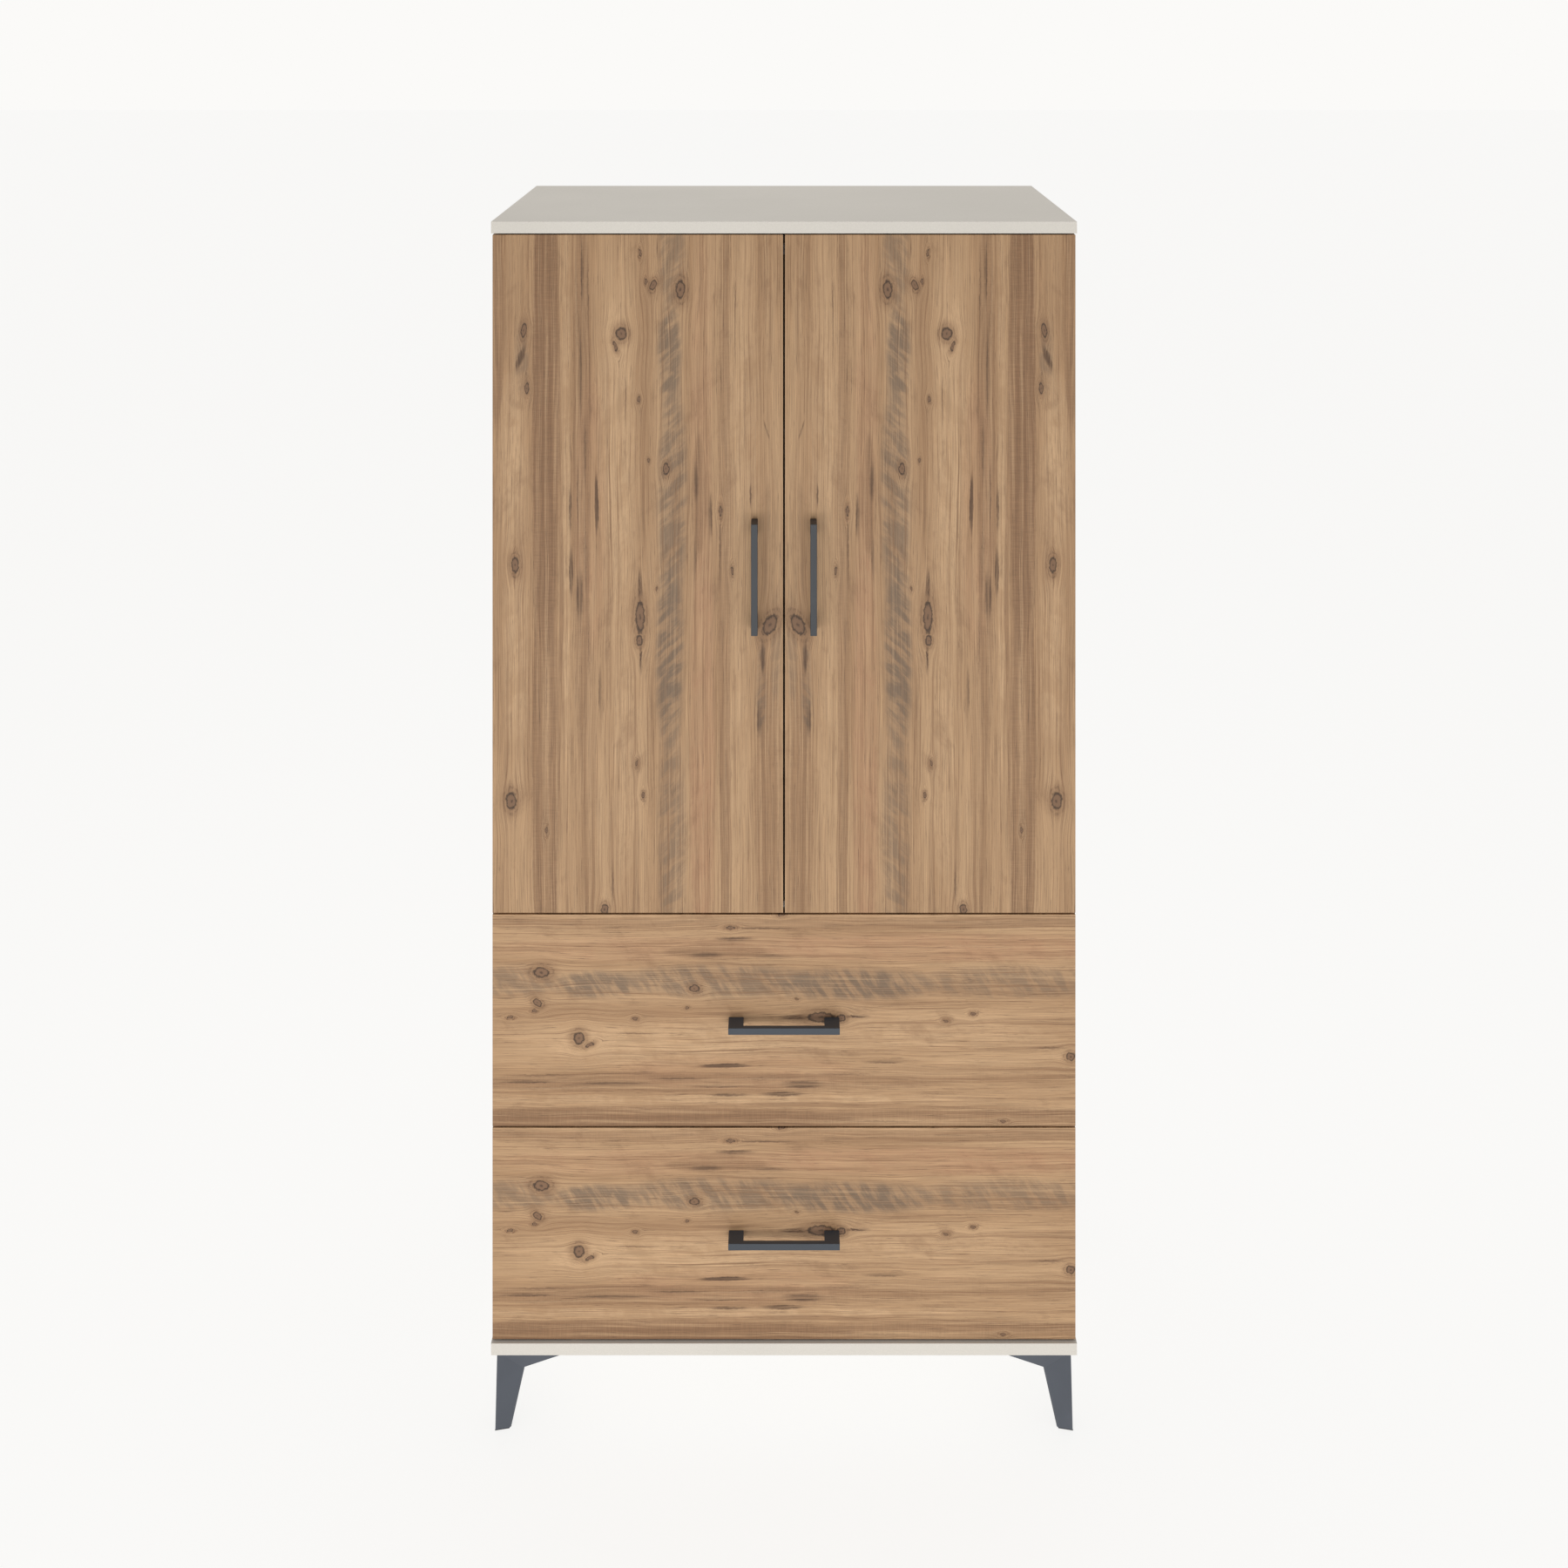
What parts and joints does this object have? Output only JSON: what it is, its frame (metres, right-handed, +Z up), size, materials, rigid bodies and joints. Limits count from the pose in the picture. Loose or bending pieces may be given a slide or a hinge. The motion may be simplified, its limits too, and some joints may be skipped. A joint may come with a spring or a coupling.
{
  "type": "armoire",
  "caption": "Tall armoire: hinged wood-decor doors above full-width drawers, light top and base panels, bar handles, and folded sheet-metal corner legs.",
  "frame": {"origin": "middle of the bounding box's footprint, on the floor", "axes": "+Z up, -Y out of the fronts, +X to the viewer's right when facing the fronts"},
  "size_m": [0.9, 0.525, 1.861],
  "materials": {
    "cream_melamine": "matt melamine on chipboard",
    "cream_hardboard": "painted hardboard",
    "pine_decor": "matt weathered pine decor on chipboard",
    "anthracite_metal": "fine matt powder coat",
    "zinc_steel": "bright zinc plate",
    "nickel_steel": "nickel plate",
    "chrome_tube": "bright chrome",
    "beech": "raw fluted beech",
    "black_plastic": "moulded",
    "clear_plastic": "soft clear"
  },
  "bodies": {
    "carcass": {"top_panel": "cream_melamine", "base_panel": "cream_melamine", "left_side_panel": "cream_melamine", "right_side_panel": "cream_melamine", "fixed_shelf": "cream_melamine", "upper_back_panel": "cream_hardboard", "lower_back_panel": "cream_hardboard", "back_panel_nails": "zinc_steel", "hanging_rail": "chrome_tube", "rail_sockets": "chrome_tube", "rail_socket_screws": "chrome_tube", "cam_fittings": "zinc_steel", "wood_dowels": "beech", "front_left_leg": "anthracite_metal", "front_right_leg": "anthracite_metal", "back_left_leg": "anthracite_metal", "back_right_leg": "anthracite_metal", "leg_screws": "zinc_steel", "leg_glides": "black_plastic", "hinge_plates": "nickel_steel", "hinge_arms": "nickel_steel", "euro_screws": "zinc_steel", "slide_outer_rails": "zinc_steel", "front_bumpers": "clear_plastic"},
    "left_door": {"left_door": "pine_decor", "left_door_handle": "anthracite_metal", "left_handle_screws": "zinc_steel", "left_hinge_cups": "nickel_steel", "left_hinge_pins": "nickel_steel", "left_cup_screws": "zinc_steel"},
    "right_door": {"right_door": "pine_decor", "right_door_handle": "anthracite_metal", "right_handle_screws": "zinc_steel", "right_hinge_cups": "nickel_steel", "right_hinge_pins": "nickel_steel", "right_cup_screws": "zinc_steel"},
    "upper_drawer": {"upper_drawer_front": "pine_decor", "upper_drawer_left_side": "cream_melamine", "upper_drawer_right_side": "cream_melamine", "upper_drawer_back": "cream_melamine", "upper_drawer_bottom": "cream_hardboard", "upper_drawer_handle": "anthracite_metal", "upper_drawer_handle_screws": "zinc_steel", "upper_drawer_fittings": "zinc_steel", "upper_inner_rails": "zinc_steel"},
    "lower_drawer": {"lower_drawer_front": "pine_decor", "lower_drawer_left_side": "cream_melamine", "lower_drawer_right_side": "cream_melamine", "lower_drawer_back": "cream_melamine", "lower_drawer_bottom": "cream_hardboard", "lower_drawer_handle": "anthracite_metal", "lower_drawer_handle_screws": "zinc_steel", "lower_drawer_fittings": "zinc_steel", "lower_inner_rails": "zinc_steel"},
    "upper_slide_middle": {"upper_middle_rails": "zinc_steel", "upper_ball_cages": "zinc_steel"},
    "lower_slide_middle": {"lower_middle_rails": "zinc_steel", "lower_ball_cages": "zinc_steel"}
  },
  "joints": [
    {"name": "left_door_hinge", "type": "hinge", "parent": "carcass", "child": "left_door", "pos_m": [-0.4415, -0.223, 1.3185], "axis": [0, 0, -1], "range_deg": [0, 95]},
    {"name": "right_door_hinge", "type": "hinge", "parent": "carcass", "child": "right_door", "pos_m": [0.4415, -0.223, 1.3185], "axis": [0, 0, 1], "range_deg": [0, 95]},
    {"name": "upper_drawer_slide", "type": "slide", "parent": "carcass", "child": "upper_drawer", "axis": [0, -1, 0], "range_m": [0, 0.43]},
    {"name": "upper_slide_middle_travel", "type": "slide", "parent": "carcass", "child": "upper_slide_middle", "axis": [0, -1, 0], "range_m": [0, 0.215]},
    {"name": "lower_drawer_slide", "type": "slide", "parent": "carcass", "child": "lower_drawer", "axis": [0, -1, 0], "range_m": [0, 0.43]},
    {"name": "lower_slide_middle_travel", "type": "slide", "parent": "carcass", "child": "lower_slide_middle", "axis": [0, -1, 0], "range_m": [0, 0.215]}
  ],
  "couplings": [
    {"joint": "upper_slide_middle_travel", "follows": "upper_drawer_slide", "ratio": 0.5},
    {"joint": "lower_slide_middle_travel", "follows": "lower_drawer_slide", "ratio": 0.5}
  ]
}
